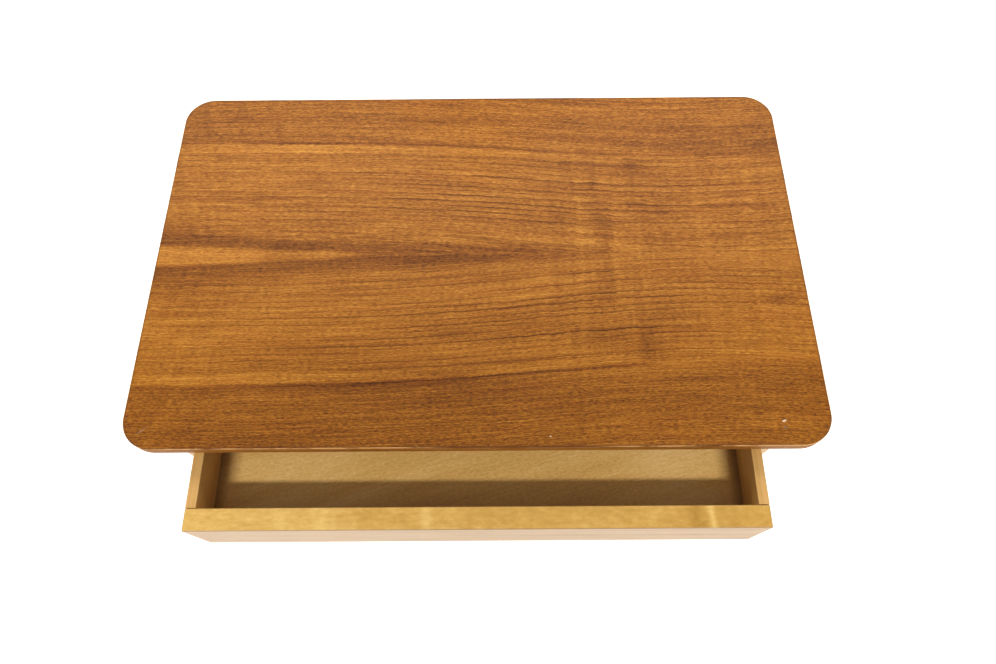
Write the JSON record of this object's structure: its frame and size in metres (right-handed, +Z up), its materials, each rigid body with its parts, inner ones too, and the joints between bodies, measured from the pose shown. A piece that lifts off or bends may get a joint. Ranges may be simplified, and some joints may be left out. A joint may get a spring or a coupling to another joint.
{
  "type": "sewing table",
  "caption": "Low rectangular sewing table with a round-cornered veneered top, a shallow wooden drawer and splayed turned legs.",
  "frame": {"origin": "on the floor, under the middle of the bounding box with the drawer open as at rest; this is 31.8 mm in front of the middle of the tabletop", "axes": "+X to the right of a person who faces the drawer, +Y to the back, away from the drawer front, +Z up"},
  "size_m": [0.6, 0.4336, 0.55],
  "materials": {
    "teak_veneer": "oiled teak veneer, satin",
    "teak_lipping": "solid teak, oiled",
    "core_board": "blockboard, raw",
    "backing_veneer": "plain veneer, thin lacquer",
    "birch": "lacquered birch, satin, yellowed",
    "case_birch": "lacquered birch, satin",
    "birch_plywood": "birch plywood, thin lacquer",
    "beech": "turned beech, satin lacquer",
    "dowel_beech": "raw beech",
    "zinc_steel": "zinc plated steel, dull",
    "glide_nickel": "nickel plated steel, worn"
  },
  "bodies": {
    "table": {"back_bearer": "case_birch", "case_back": "case_birch", "case_side_left": "case_birch", "case_side_right": "case_birch", "foot_glide_back_left": "glide_nickel", "foot_glide_back_right": "glide_nickel", "foot_glide_front_left": "glide_nickel", "foot_glide_front_right": "glide_nickel", "front_bearer": "case_birch", "leg_back_left": "beech", "leg_back_right": "beech", "leg_block_back_left": "case_birch", "leg_block_back_right": "case_birch", "leg_block_front_left": "case_birch", "leg_block_front_right": "case_birch", "leg_block_screw_back_left_inner": "zinc_steel", "leg_block_screw_back_left_outer": "zinc_steel", "leg_block_screw_back_right_inner": "zinc_steel", "leg_block_screw_back_right_outer": "zinc_steel", "leg_block_screw_front_left_inner": "zinc_steel", "leg_block_screw_front_left_outer": "zinc_steel", "leg_block_screw_front_right_inner": "zinc_steel", "leg_block_screw_front_right_outer": "zinc_steel", "leg_bolt_back_left": "zinc_steel", "leg_bolt_back_right": "zinc_steel", "leg_bolt_front_left": "zinc_steel", "leg_bolt_front_right": "zinc_steel", "leg_front_left": "beech", "leg_front_right": "beech", "runner_left": "case_birch", "runner_right": "case_birch", "runner_screw_back_left": "zinc_steel", "runner_screw_back_right": "zinc_steel", "runner_screw_front_left": "zinc_steel", "runner_screw_front_right": "zinc_steel", "tabletop_backing": "backing_veneer", "tabletop_core": "core_board", "tabletop_lipping": "teak_lipping", "tabletop_veneer": "teak_veneer", "top_dowel_back_left": "dowel_beech", "top_dowel_back_right": "dowel_beech", "top_dowel_front_left": "dowel_beech", "top_dowel_front_right": "dowel_beech", "top_dowel_rear_left": "dowel_beech", "top_dowel_rear_right": "dowel_beech"},
    "drawer": {"bottom_screw_left": "zinc_steel", "bottom_screw_middle": "zinc_steel", "bottom_screw_right": "zinc_steel", "drawer_back": "birch", "drawer_bottom": "birch_plywood", "drawer_front": "birch", "drawer_glue_block_left": "birch", "drawer_glue_block_right": "birch", "drawer_side_left": "birch", "drawer_side_right": "birch"}
  },
  "joints": [
    {"name": "drawer_slide", "type": "slide", "parent": "table", "child": "drawer", "axis": [0, -1, 0], "range_m": [-0.0736, 0.1264]}
  ]
}
